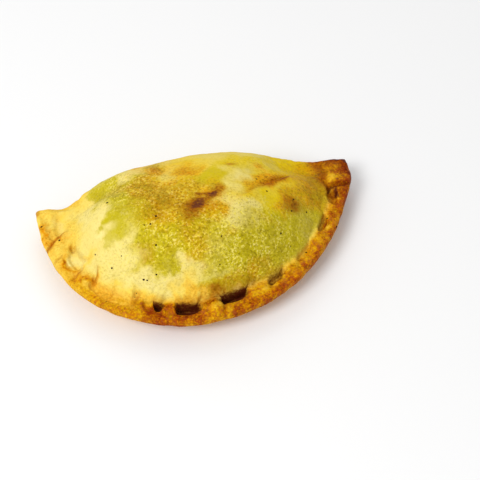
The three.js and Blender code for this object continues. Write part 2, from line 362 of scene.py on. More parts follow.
def settled(points, inset):
    # the two outlines meet in a corner at each ear; up on the dome the columns beside it are evened out
    evened = crust["evenedBesideEars"]
    columns = points.shape[1]
    column = np.arange(columns)
    fromEar = np.minimum(np.minimum(column, columns - column), abs(column - crust["frontSteps"]))
    share = evened["share"] * (1 - eased(fromEar, evened["columns"], evened["fade"]))
    share = (share * eased(inset, evened["fromInset"], evened["insetReach"]))[..., None]
    for _ in range(evened["rounds"]):
        points = mix(points, (np.roll(points, 1, axis=1) + np.roll(points, -1, axis=1)) / 2, share)
    return points


bare = settled(np.stack([surface["x"], surface["y"], surface["z"]], axis=2), surface["inset"] * surface["top"])
offBase = eased(bare[..., 2], *crust["flatBase"])
points = bare + gridNormals(bare) * (handRelief(bare, surface) * offBase)[..., None]
points[..., 2] = np.maximum(points[..., 2], 0)
print("crust shaped")

# where the dough is coloured: ovals on the plan, each with its place, half length, half width, strength, turn
paint = {"gold": [  # golden baking beyond the rim
    (-66, -2, 10, 7, 0.3), (-57, 3, 12, 6, 0.3), (-59, -16, 6, 11, 0.24), (-56, -46, 9, 5, 0.32, -40),
    (-42, -59, 14, 3.4, 0.28, -24), (-24, -65.4, 14, 2.4, 0.45, -8), (-7, -65.8, 9, 2.4, 0.45),
    (-42, 5, 16, 5, 0.15, 6), (-20, 4, 12, 7, 0.35), (-6, -9, 11, 11, 0.45), (10, 4, 30, 9, 0.1),
    (-18, -62.5, 8, 3, 0.15, -5), (-48, -55, 3, 2, 0.3, -40), (-55, -38, 3, 2, 0.25), (-60, -44, 3, 3, 0.25),
    (-18, -9, 4, 5, 0.5), (46, -4, 18, 10, 0.36), (52, -20, 12, 16, 0.42), (31, -21, 15, 5, 0.66, 38),
    (22, -14, 9, 7, 0.15), (64, -6, 9, 16, 0.74), (30, -60, 26, 3, 0.45, 32), (-65, -25.6, 5.4, 2.8, 0.38, 43),
    (-57.6, -45.4, 5.6, 3.4, 0.5, 40), (-70.6, -13, 2.2, 9, 0.6, 6), (-62.6, -34, 2, 6, 0.75, 24),
    (-56, -37.4, 1.6, 3.4, 0.35, 20), (-38.6, -63, 3, 4, 0.15, -30), (-3, -34, 9, 7, 0.6, 15),
    (52, -3, 8, 6, 0.3), (-54, -50, 4, 3, 0.3, 50), (-66, -20, 6, 2.4, 0.4, 43),
], "olive": [  # thin damp dough that shows green-yellow
    (-43, -1, 5, 6, 0.9, -25), (-42, -9, 5, 4, 0.8), (-39.5, -13, 5, 11, 0.95, 6), (-37, -25, 5, 8, 0.85),
    (-42, -31, 6.5, 1.9, 0.85, -10), (-40, -37, 5.4, 4.4, 0.8, -25), (-45, -16, 4, 5, 0.5),
    (-29.6, -49.6, 3.4, 4, 0.8), (14, -11, 7, 5, 0.6), (-41.5, -34, 4, 3, 0.6), (-37, -9, 4.6, 4.6, 0.8),
    (-30.5, -49.6, 5.4, 5.2, 1), (-22, -45, 5, 4, 0.9), (0, -38, 5, 4, 0.9), (-32, -11, 4, 3, 0.8),
    (-18, -3, 5, 4, 0.7), (-24, -43.5, 5, 4, 1), (-18, -55.5, 3, 2, 0.7), (-28, -33, 9, 10, 0.9),
    (-24, -47, 12, 10.5, 1, -22), (-10, -50, 17, 9, 1, 2), (5, -56, 14, 8.5, 1, 6), (17, -52, 10, 11, 0.95, 25),
    (-29, -18, 8, 12, 0.95), (-16, -30, 9, 13, 0.75), (-2, -22.5, 10, 6.5, 0.95, 8), (5.5, -19, 4, 9, 0.85),
    (15, -12, 3, 3.4, 0.7), (31, -5, 15, 6, 0.45, -12), (50, -13, 10, 16, 0.95, -6), (2, -18, 7, 5, 0.6),
    (54, -6, 4, 7, 0.85), (41, -30, 15, 7, 0.9, 36), (27, -40, 12, 8, 0.9, 35), (34, -50, 18, 10, 0.95, 38),
    (52, -32, 9, 12, 0.8, -30), (17, -24, 9, 14, 0.45), (-3, -37, 11, 9, 0.9), (-18, -14, 10, 8, 0.6),
    (-46, 4, 10, 3, 0.6, 6), (-22, 4, 8, 4, 0.45), (4, -63.4, 13, 4, 0.85, 6),
], "yellow": [  # the same dough where it is browner, a strong yellow
    (46, -1, 16, 7, 0.92, -4), (42, -13, 8, 9, 0.85), (-17, -15, 6, 5, 0.5), (24, -19, 4, 4, 0.5),
    (13, -10, 9, 6, 0.75), (26, 2, 20, 6, 0.65), (44, -14, 12, 16, 0.5), (28, -8, 14, 6, 0.92, -10),
    (6, -1, 10, 5, 0.4), (24, -21, 5, 4, 0.9, 35), (6, -32, 6, 5, 0.6), (18, -32, 6, 4, 0.75, 35),
    (44, -10, 9, 8, 0.75), (30, -32, 6, 5, 0.75, 35), (-12, -20, 6, 6, 0.4), (1, -38, 7, 4, 0.5),
    (-4, -3, 9, 4, 0.6), (14, -30, 16, 16, 0.4, 30), (33, -24, 12, 12, 0.4, 30), (6, -21, 4, 9, 0.3),
    (-4, -12, 9, 7, 0.6), (-8, -22, 6, 5, 0.4), (-14, 4, 12, 4, 0.5), (38, -28, 12, 5, 0.2, 36),
    (-20, -40, 10, 5, 0.25),
], "pale": [  # dry pale dough
    (-49.5, -20, 3.6, 11, 0.6, 8), (-44, -44, 12, 7, 0.45, -35), (-45.6, -33.2, 3.4, 1.5, 1, -18),
    (-36, -46, 3.6, 6, 0.6, -10), (-27, -3.4, 6.5, 2.3, 0.75, 35), (-32.4, -6.8, 3.4, 1.8, 0.6, 35),
    (-43, -26.2, 4.8, 3, 0.9), (34, -8, 5, 2.4, 0.3, -10), (-34, 2, 10, 3, 0.6, 6),
    (-13.5, -58.8, 4.2, 1.4, 0.9, 4), (-21.5, -59.6, 4.4, 1.5, 0.8, -14), (-30, -57, 9, 3, 0.95, -20),
    (12, -42, 8, 5.4, 0.75, 12), (-1, -53.6, 7, 4.4, 0.18), (13, -48, 4, 3, 0.1), (9.5, -33.5, 3.2, 4, 0.3),
    (12.5, -25, 3.6, 6, 0.5, 14), (17.8, -18.8, 3.4, 5.4, 0.75, 30), (26, -1.5, 7, 3, 0.4),
    (12, -1, 20, 3.2, 0.3), (-24, -2.5, 4, 2.5, 0.5, 20), (6.5, -38, 3, 2.6, 0.75), (18, -38.5, 4, 3, 0.65),
    (-59, -32.8, 1.8, 4.9, 1, 22), (-64, -11, 3, 6, 0.45, 5), (-12.5, -15, 3, 7, 0.45), (-2, -61, 8, 1.8, 0.35),
    (-13, 0, 5, 3, 0.3),
], "toastAndShade": [  # light browning, and painted shade above the right-hand presses, along the left presses' walls, in the left ear's crease and on the right flank
    (-22, -24, 6.5, 11, 0.8), (-27.5, -14.5, 5, 4.5, 0.7), (-18, -7, 4.4, 6, 0.85), (-25, -36, 8, 5, 0.5),
    (-13, -32, 7, 6, 0.9), (-4.5, -12.5, 6.5, 4.6, 0.5), (-9, -41, 5, 5, 0.65, 30), (0, -39, 5.5, 4, 0.9),
    (5.5, -27, 3, 6, 0.6, -5), (30, -20.8, 14, 4.8, 0.92, 38), (-10, -37, 9, 15, 0.55), (-24, -17, 7, 7, 0.7),
    (12.5, -62, 5, 3.4, 0.6, 6), (-12, -44, 5, 4, 0.5), (-10, -53, 9, 5, 0.3), (-24, -44, 3.4, 3, 0.4),
    (6, -50, 4, 3, 0.4), (24, -44, 4, 4, 0.25), (-12, -56, 4, 2.6, 0.3), (-6, -14, 5, 4, 0.4),
    (46, -26, 7, 6, 0.7), (-22, -29, 8, 9, 0.4), (54, -4, 5, 5, 0.4), (60, -2, 9, 3, 0.5),
    (-30, -50, 4, 3.6, 0.35), (-12, -51, 5, 4, 0.3), (-14, -20, 6, 4, 0.55), (25, -20.5, 4.5, 3, 0.8, 36),
    (-12, -20, 4, 4, 0.5), (17, -61, 7, 3, 0.5, 6), (-34, -13, 6, 5, 0.4), (-4, -26, 9, 7, 0.3),
    (40, -28, 7, 4, 0.3), (37, -33.5, 6.4, 5, 0.9, 20), (57.4, -8, 3.2, 14, 0.85, 4),
    (-38.6, -62.6, 1.6, 3, 0.15, -10), (3, -65, 12, 3.2, 0.5, 6), (-69.8, -13, 2, 8, 0.7, 4),
    (-63.2, -35, 1.5, 6, 0.5, 25), (-54.5, -49.5, 3, 2, 0.35, 40), (-12.5, -32, 4.4, 3.6, 0.9),
    (-51.5, -57, 1.8, 9, 0.3, -48), (52, -24, 8, 8, 0.5, -40), (15, -12, 2.6, 2.4, 0.35), (49, -13, 8, 13, 0.5),
    (33, -62, 14, 2.2, 0.5, 34), (-31, -28, 4, 3, 0.35), (-2, -34, 12, 7, 0.8, 12), (-66, -20, 6, 3, 0.5, 43),
    (-57, -44, 5, 3, 0.5, -45), (-25, -1, 4, 6, 0.4),
], "brown": [  # deep browning, and painted shade in creases, at the ends and walls of the left presses, above the right-hand presses, under the right ear's lobe and on the right flank
    (-4.8, -34.8, 4.8, 4.2, 1), (-6.4, -35.8, 6, 4.8, 0.6), (2.8, -32.2, 4.2, 2.4, 0.95, 36),
    (6.6, -28.2, 2.4, 3.6, 0.5, -18), (5.2, -30.4, 4.6, 4.4, 0.4, 20), (-1.3, -29.9, 4.6, 1, 0.85, -14),
    (-7.8, -40.2, 4.4, 4.2, 0.5, -20), (0.6, -38.2, 3.2, 2.4, 0.34), (-30, -50, 3.4, 3, 0.26),
    (-9.6, -41.4, 3.6, 3, 0.3), (32, -21.4, 9, 2.6, 0.6, 40), (37.6, -18.4, 6.4, 1, 0.95, 42),
    (28.5, -25, 6.5, 2.4, 0.4, 36), (20, -30, 6, 1.2, 0.4, 34), (37.6, -34, 5, 4, 0.85, 20),
    (58.8, -6, 2.6, 11, 0.75, 4), (70.5, -3, 3, 5, 0.5), (64, -1, 8, 4, 0.35), (66, 1.4, 10, 2, 0.95, -3),
    (58, 1.4, 5, 1.6, 0.5), (54.5, -10, 4.4, 9, 0.3), (63.4, -20.4, 2.6, 3.6, 0.7), (72.2, -9, 1.6, 9, 0.85, 6),
    (64.5, -15.4, 7, 1.5, 0.9, 2), (61, -18.5, 3.4, 2.6, 0.6), (67, -19, 3, 4, 0.5), (60.2, -5, 0.9, 7, 0.5),
    (57, -7, 3.5, 12, 0.4), (66.5, -3, 5, 4, 0.3), (69, -9, 2.6, 5, 0.45), (-66, -19.5, 5, 1.3, 0.8, 43),
    (-70, -23.4, 2.6, 1.3, 0.85, 43), (-52.9, -46.2, 1.4, 3.4, 0.5, -35), (-58.8, -40.2, 1.4, 3, 0.45, -25),
    (-32, -70, 6, 2.2, 0.3, -22), (-31, -69.2, 4.8, 2.4, 0.6, -20), (-9, -68.4, 4.2, 2.2, 0.6),
    (-4, -67.6, 4, 1.8, 0.4), (-20, -74.2, 10, 1.8, 0.15, -8), (-2.6, -65.5, 4, 1.3, 0.65, -8),
    (-38.6, -62.6, 2.2, 4.4, 0.42, -20), (-72.8, -1, 1.2, 1.6, 0.7), (3, -64.8, 10, 2.2, 0.3, 6),
    (11.5, -64, 3.4, 2.2, 0.4), (-2.4, -65.4, 3.4, 1.2, 0.4, -8), (15.4, -12, 3.2, 1.1, 0.55, 10),
    (-4.5, -67.6, 3.4, 2.2, 0.4), (-0.7, -70.8, 0.9, 5.2, 0.85, -16), (-29.5, -65, 1.6, 1.4, 0.3),
    (-18, -6, 1.8, 2.4, 0.35), (-20, -25, 6.5, 10, 0.12), (-19, -34, 8, 6, 0.16), (-22, -37.5, 2.4, 1.6, 0.3),
    (-5, -12.5, 6.5, 4.2, 0.3), (50, -14, 8, 13, 0.26), (-63, -34.4, 0.8, 5.4, 0.45, 24),
    (-59.4, -41, 3.6, 0.9, 0.55, 42), (-59.4, -25.4, 0.9, 1.4, 0.1), (-67, -30.3, 2.4, 0.7, 0.5, 25),
    (-51.2, -43.8, 1, 1.2, 0.4), (-37.4, -61.4, 3.8, 0.9, 0.4, 58), (-60.6, -26.4, 2.6, 0.9, 0.4, -35),
    (-56.4, -33, 0.8, 4.5, 0.2, 20), (-68.9, -12, 1.1, 8, 0.3, 4), (-50, -57.5, 1.3, 8, 0.2, -48),
], "scorchAndShade": [  # nearly burnt, and painted shade in the fold under the right ear's lobe, in the crease of a rim ridge and at the end of a left press
    (61.2, -16.6, 3, 1, 0.6, 15), (72.4, -0.4, 2, 1.6, 0.8), (67, 1.4, 5, 1.2, 0.75, -10),
    (63, -19.8, 1, 3.6, 0.8, -16), (70.4, -14.6, 2.4, 1.2, 0.4, 20), (66, -15.8, 5, 0.7, 0.55, -4),
    (73.2, -11, 0.8, 5, 0.5, 6), (-59.7, -24.8, 0.8, 0.9, 0.15), (67.5, -2.5, 1.4, 1, 0.4),
    (-4.4, -34.9, 3.6, 3.4, 0.66), (3.4, -31.9, 3, 1.9, 0.7, 36), (-1.3, -30, 3.8, 0.6, 0.5, -14),
    (-0.7, -70.8, 0.5, 4.6, 0.35, -16), (38, -18, 5, 0.6, 0.45, 42),
], "dots": [  # fine light specks
    (-8, -47, 30, 15, 1), (-20, -22, 14, 20, 0.9), (-33, -16, 8, 14, 0.75), (12, -56, 16, 9, 1, 8),
    (12, -38, 12, 8, 0.7), (-40, -8, 11, 16, 0.6), (28, -8, 18, 9, 0.3), (24, -52, 18, 14, 0.7, 30),
    (45, -40, 12, 14, 0.45, -35), (-54, -12, 12, 16, 0.3), (-50, -50, 14, 10, 0.3, -40), (0, -30, 14, 8, 0.6),
    (46, -14, 14, 16, 0.22), (-20, -70, 30, 6, 0.15),
]}
# a pair of numbers is where a change starts and the length that it takes
bake = dict(
    # how far patch outlines stray, wave length, seed
    wander=dict(broad=(2.2, 11, 21), fine=(0.7, 3.6, 31)),
    softness=1.5, firmness=2, firmWander=dict(brown=0.2, scorchAndShade=0.25),
    # how well done the rim is from left ear to right ear, and the flattened ends of the fold
    fold=dict(x=(-74, -40, 40, 56, 62, 74), share=(0.28, 0.15, 0.4, 0.55, 0.85, 0.92)),
    rim=dict(x=(-74, -60, -46, -38, -30, -24, -18, -12, -8, -3, 2, 20, 55, 74),
             share=(0.16, 0.44, 0.54, 0.56, 0.94, 0.96, 0.84, 1, 0.74, 0.6, 0.8, 0.7, 0.74, 0.86),
             edge=(0.06, 0.22, 0.24, 0.14, 0, 0, -0.06, -0.04, 0, 0.1, 0.16, 0.2, 0.12, 0.12)),
    rimEnd=(6.5, 5), edgeEnd=(1.5, 3.5), frontEdge=(1, 6), wellDone=(-50, 18),
    rimUnevenness=(0.10, 5, 51), rimPaleLoss=0.9, rimDotsLoss=0.85, brownDotsLoss=0.7,
    earBumpHighlight=(62.6, -11.4, 2.4, 2.4, 0.22),  # painted highlight: less gold on the bump of the right ear
    # presses: the depth at which they darken, how dark from left to right, partly caramelised juice and partly
    # painted shade, and how strong the painted shade close by is
    darkDepth=(2.2, 1.2), pit=dict(x=(10, 18, 50, 58), share=(0.86, 0.70, 0.70, 0.25)), pitReach=1.2,
    pitBack=0.2, nearbyFront=(-1.6, 2), nearbyBack=(0.6, 2.2), pressShadeStrength=0.6,
    # underneath: even gold with browned patches where it lay on the tray
    underAbove=1, underReach=4, tray=(0.35, 0.3), trayWaves=(16, 41), underGold=0.55,
)


def painted(x, y, spots, firmness):
    # union of soft firm-edged ovals: one minus the product of what each leaves bare
    return 1 - math.prod(1 - blob(x, y, spot, firmness) for spot in spots)


def strayed(points):
    # plan places pushed about by waves, for ragged patches
    x, y = points[..., 0].copy(), points[..., 1].copy()
    for reach, length, seed in bake["wander"].values():
        x += reach * waves(points, length, seed)
        y += reach * waves(points, length, seed + 1)
    return x, y


def crustMasks(points, surface):
    # the painted ovals, then the rim by how far along it is, the presses by depth and the underside by height
    x, y = strayed(points)
    plainX, plainY = points[..., 0], points[..., 1]
    masks = {name: painted(x, y, spots, bake["softness"]) for name, spots in paint.items()}
    for name, share in bake["firmWander"].items():
        masks[name] = painted(mix(plainX, x, share), mix(plainY, y, share), paint[name], bake["firmness"])
    inset, onRim = surface["inset"], surface["pressed"]
    under = ease((lipUnder + bake["underAbove"] - points[..., 2]) / bake["underReach"]) * (1 - surface["top"])

    # rim: gold on the left, more baked towards the front and the right ear
    rim = onRim * (1 - eased(inset, *bake["rimEnd"]))
    frontRim = eased(-surface["ey"], *bake["frontEdge"])
    wellDone = eased(plainX, *bake["wellDone"])
    height, *shape = bake["rimUnevenness"]
    share = mix(np.interp(x, bake["fold"]["x"], bake["fold"]["share"]),
                np.interp(x, bake["rim"]["x"], bake["rim"]["share"]), frontRim)
    share = share + height * wellDone * waves(points, *shape)
    share += np.interp(x, bake["rim"]["x"], bake["rim"]["edge"]) * (1 - eased(inset, *bake["edgeEnd"]))
    masks["gold"] = np.maximum(masks["gold"], rim * share)
    # painted highlight: the bump of the right ear is made lighter
    masks["gold"] -= blob(plainX, plainY, bake["earBumpHighlight"])
    for name in ("olive", "yellow"):
        masks[name] *= 1 - rim * frontRim
    masks["pale"] *= 1 - bake["rimPaleLoss"] * rim * wellDone
    masks["dots"] *= (1 - bake["brownDotsLoss"] * masks["brown"]) * (1 - bake["rimDotsLoss"] * rim)

    # presses: dark where they are deep, partly caramelised juice and partly painted shade, with painted shade
    # along their edges
    deep = surface["share"] * eased(surface["depth"], *bake["darkDepth"]) * surface["top"]
    beyondStart, beyondEnd = inset - surface["outer"], inset - surface["inner"]
    pitReach = bake["pitReach"]
    inPress = ease(beyondStart / pitReach) * (1 - eased(beyondEnd, bake["pitBack"], pitReach))
    pit = np.interp(plainX, bake["pit"]["x"], bake["pit"]["share"]) * deep * inPress * onRim
    masks["scorchAndShade"] = 1 - (1 - masks["scorchAndShade"]) * (1 - pit)
    # painted shade: brown along the walls in front of and behind each deep press
    pressShade = eased(beyondStart, *bake["nearbyFront"]) * (1 - eased(beyondEnd, *bake["nearbyBack"]))
    masks["brown"] = np.maximum(masks["brown"], bake["pressShadeStrength"] * deep * pressShade * onRim)

    even, patchy = bake["tray"]
    tray = under * (even + patchy * ease(0.5 + waves(points, *bake["trayWaves"])))
    masks["toastAndShade"] = np.maximum(masks["toastAndShade"], tray)
    masks["gold"] = np.maximum(masks["gold"], bake["underGold"] * under)
    for name in ("olive", "yellow", "pale", "brown", "scorchAndShade", "dots"):
        masks[name] *= 1 - under
    return masks


masks = crustMasks(points, surface)
print("crust coloured", {name: round(float(mask.mean()), 3) for name, mask in masks.items()})

offset = -(points.reshape(-1, 3).min(axis=0) + points.reshape(-1, 3).max(axis=0)) / 2
offset[2] = 0
points = points + offset
print("offset to the frame", offset.round(3))


def closedFaces(rows, columns):
    # quads of a grid closed round its columns, then a fan to a point at each end
    column = np.arange(columns)
    after = (column + 1) % columns
    base, lastRow = np.arange(rows - 1)[:, None] * columns, (rows - 1) * columns
    quads = np.stack([base + column, base + after, base + columns + after, base + columns + column], axis=2)
    first = np.stack([np.full(columns, rows * columns), after, column], axis=1)
    last = np.stack([lastRow + column, lastRow + after, np.full(columns, rows * columns + 1)], axis=1)
    return quads.reshape(-1, 4), first, last


def smoothMesh(name, vertices, faces):
    # millimetres become metres here
    mesh = bpy.data.meshes.new(name)
    mesh.from_pydata((vertices / 1000).tolist(), [], faces)
    mesh.shade_smooth()
    return mesh


def closedMesh(name, points):
    # the grid with a middle point added at each end
    ends = np.array([points[0].mean(axis=0), points[-1].mean(axis=0)])
    faces = [face for part in closedFaces(*points.shape[:2]) for face in part.tolist()]
    return smoothMesh(name, np.concatenate([points.reshape(-1, 3), ends]), faces)


def giveMasks(mesh, masks):
    # one number per vertex and mask; the two end points take their row's mean
    for name, mask in masks.items():
        values = np.concatenate([mask.ravel(), [mask[0].mean(), mask[-1].mean()]])
        mesh.attributes.new(name, "FLOAT", "POINT").data.foreach_set("value", values.astype(np.float32))


scene = bpy.context.scene


def addPiece(name, mesh, material):
    # a mesh with one material, riding with the whole
    piece = bpy.data.objects.new(name, mesh)
    scene.collection.objects.link(piece)
    mesh.materials.append(material)
    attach(piece, "root")
    return piece


def linear(shade):
    # screen colour from 0 to 255 to the light it stands for, taken down a little
    share = np.array(shade) / 255
    light = np.where(share <= 0.04045, share / 12.92, ((share + 0.055) / 1.055) ** 2.4)
    return (*(light * finish["lightShare"]), 1.0)


finish = dict(
    lightShare=0.92,
    pastry=[(0, (242, 222, 126)), (0.25, (248, 215, 90)), (0.45, (245, 196, 66)), (0.65, (230, 172, 12)),
            (0.8, (207, 128, 2)), (1, (168, 64, 9))],
    olive=(186, 168, 2), oliveLight=(211, 195, 34), yellow=(240, 208, 6), pale=(247, 229, 142),
    dots=(240, 216, 44), paleDots=(250, 234, 124),
    # nearly burnt dough, also the colour of the painted shade in the presses and creases
    scorchAndShade=(90, 32, 14),
    # light that each browning lets through; toast and brown also carry painted shade
    toastAndShade=(1, 0.66, 0.10, 1), brown=(0.52, 0.27, 0.07, 1), speckle=(0.50, 0.44, 0.16, 1),
    # metres
    grainSize=0.0011, dotSize=0.0012, mottleSize=0.006, grainHeight=0.00012,
    # how far an outline wanders with the broad patches and with the grain, and how steep it is
    outlines=dict(olive=(0.4, 1, 1.3), brown=(0.3, 0.5, 1), scorchAndShade=(0.5, 0.9, 1.3)),
    goldPatches=0.3, goldGrain=(0.9, 0.08), yellowPatches=0.3, paleGrain=0.4, oliveMix=1.2,
    toastAndShadeGrain=(2.4, 0.1), toastAndShadePatches=0.4, paleDotMix=(1.5, 2.5), toastAndShadeOnDots=0.4,
    # dark flecks: most on dots, gold baking or toast, a few everywhere
    darkOnDots=0.75, darkOnGoldPower=2, darkFlecks=(0.88, 0.12), darkStrength=0.9,
    blotches=0.35, blotchLimits=(0.52, 0.38), lightStrength=0.95,
    dryRoughness=0.72, oilyRoughness=0.55, scorchRoughness=0.5, roughnessGrain=0.25,
    specular=0.10, specularTint=(1, 0.8, 0.25, 1), scorchCoat=0.1, coatRoughness=0.35,
)


def newMaterial(name):
    # a fresh material with its nodes and its one shader
    material = bpy.data.materials.new(name)
    material.use_nodes = True
    return material, material.node_tree, material.node_tree.nodes["Principled BSDF"]


def addNode(tree, kind, inputs=None, **settings):
    # a node with inputs keyed by socket name or number; a socket is linked, anything else is set
    made = tree.nodes.new(kind)
    for name, value in settings.items():
        setattr(made, name, value)
    for name, value in (inputs or {}).items():
        if isinstance(value, bpy.types.NodeSocket):
            tree.links.new(value, made.inputs[name])
        else:
            made.inputs[name].default_value = value
    return made


def maths(operation, *numbers, clamp=False):
    # the result of one sum on two or three numbers, of which at least one is a socket
    tree = next(number.id_data for number in numbers if isinstance(number, bpy.types.NodeSocket))
    inputs = dict(enumerate(numbers))
    return addNode(tree, "ShaderNodeMath", inputs, operation=operation, use_clamp=clamp).outputs[0]


def layer(share, below, above, blend="MIX"):
    # one colour laid over another by a mask
    inputs = {"Factor": share, 6: below, 7: above}
    return addNode(share.id_data, "ShaderNodeMix", inputs, data_type="RGBA", blend_type=blend).outputs[2]


def ranged(value, start, end, least=0.0, way="LINEAR"):
    # 0, or the least, up to the start of a range and 1 from its end
    limits = {"Value": value, "From Min": start, "From Max": end, "To Min": least}
    return addNode(value.id_data, "ShaderNodeMapRange", limits, interpolation_type=way).outputs[0]


def readMask(tree, name):
    # the number that giveMasks put on the vertices
    return addNode(tree, "ShaderNodeAttribute", attribute_name=name).outputs["Fac"]


# limits are where a fleck starts and where it is full; rises are shares of the height
dough = dict(
    patchDetail=4, grainDetail=2.6, roughness=0.6, lightLimits=(0.50, 0.62), darkLimits=(0.50, 0.38),
    crowding=(0.38, 0.54, 0.2), blisterSize=(0.95, -0.5), blisterEdge=5,
    grainRise=0.8, blisterRise=0.5, fleckRise=0.3,
)


def doughGrain():
    # baked dough at a position: patches, grain and two kinds of fleck, each 0 to 1, and their height
    tree = bpy.data.node_groups.new("doughGrain", "ShaderNodeTree")
    sizes = ("Patch Size", "Grain Size", "Blister Size")
    tree.interface.new_socket("Position", in_out="INPUT", socket_type="NodeSocketVector")
    for name in sizes:
        tree.interface.new_socket(name, in_out="INPUT", socket_type="NodeSocketFloat")
    given = addNode(tree, "NodeGroupInput").outputs
    noise = {"Detail": dough["patchDetail"], "Roughness": dough["roughness"]}
    kinds = (("ShaderNodeTexNoise", noise), ("ShaderNodeTexNoise", {**noise, "Detail": dough["grainDetail"]}),
             ("ShaderNodeTexVoronoi", {}))
    made = []
    for name, (kind, inputs) in zip(sizes, kinds):
        scale = maths("DIVIDE", 1, given[name])
        made.append(addNode(tree, kind, {"Vector": given["Position"], "Scale": scale, **inputs}))
    broad, grain, cells = made

    # the three colours of a noise are three different fields
    fields = addNode(tree, "ShaderNodeSeparateColor", {0: grain.outputs["Color"]}).outputs
    patches, fine = broad.outputs["Fac"], grain.outputs["Fac"]
    light = maths("MULTIPLY", ranged(fields[1], *dough["lightLimits"]), ranged(patches, *dough["crowding"]))
    dark = ranged(fields[2], *dough["darkLimits"])
    # only some cells carry a blister, each a round dot with a soft edge
    chosen = addNode(tree, "ShaderNodeSeparateColor", {0: cells.outputs["Color"]}).outputs[0]
    inside = maths("SUBTRACT", maths("MULTIPLY_ADD", chosen, *dough["blisterSize"]), cells.outputs["Distance"])
    blisters = maths("MULTIPLY", inside, dough["blisterEdge"], clamp=True)
    rise = maths("MULTIPLY_ADD", fine, dough["grainRise"], maths("MULTIPLY", blisters, dough["blisterRise"]))
    rise = maths("MULTIPLY_ADD", light, dough["fleckRise"], rise)
    results = {"Patches": patches, "Grain": fine, "Light Flecks": maths("MAXIMUM", light, blisters),
               "Dark Flecks": dark, "Height": rise}
    for name in results:
        tree.interface.new_socket(name, in_out="OUTPUT", socket_type="NodeSocketFloat")
    addNode(tree, "NodeGroupOutput", results)
    return tree


grainGroup = doughGrain()


def placeGrain(tree, patches, grain, blisters):
    # the shared grain in the piece's own space, from its three sizes
    position = addNode(tree, "ShaderNodeTexCoord").outputs["Object"]
    inputs = {"Position": position, "Patch Size": patches, "Grain Size": grain, "Blister Size": blisters}
    return addNode(tree, "ShaderNodeGroup", inputs, node_tree=grainGroup).outputs


def ragged(share, noise, amount, steepness=1):
    # a mask whose half-way line wanders with a noise
    strayed = maths("MULTIPLY_ADD", maths("SUBTRACT", noise, 0.5), amount, share)
    if steepness == 1:
        return maths("MAXIMUM", strayed, 0.0, clamp=True)
    return ranged(strayed, 0.5 - 0.5 / steepness, 0.5 + 0.5 / steepness, way="SMOOTHSTEP")


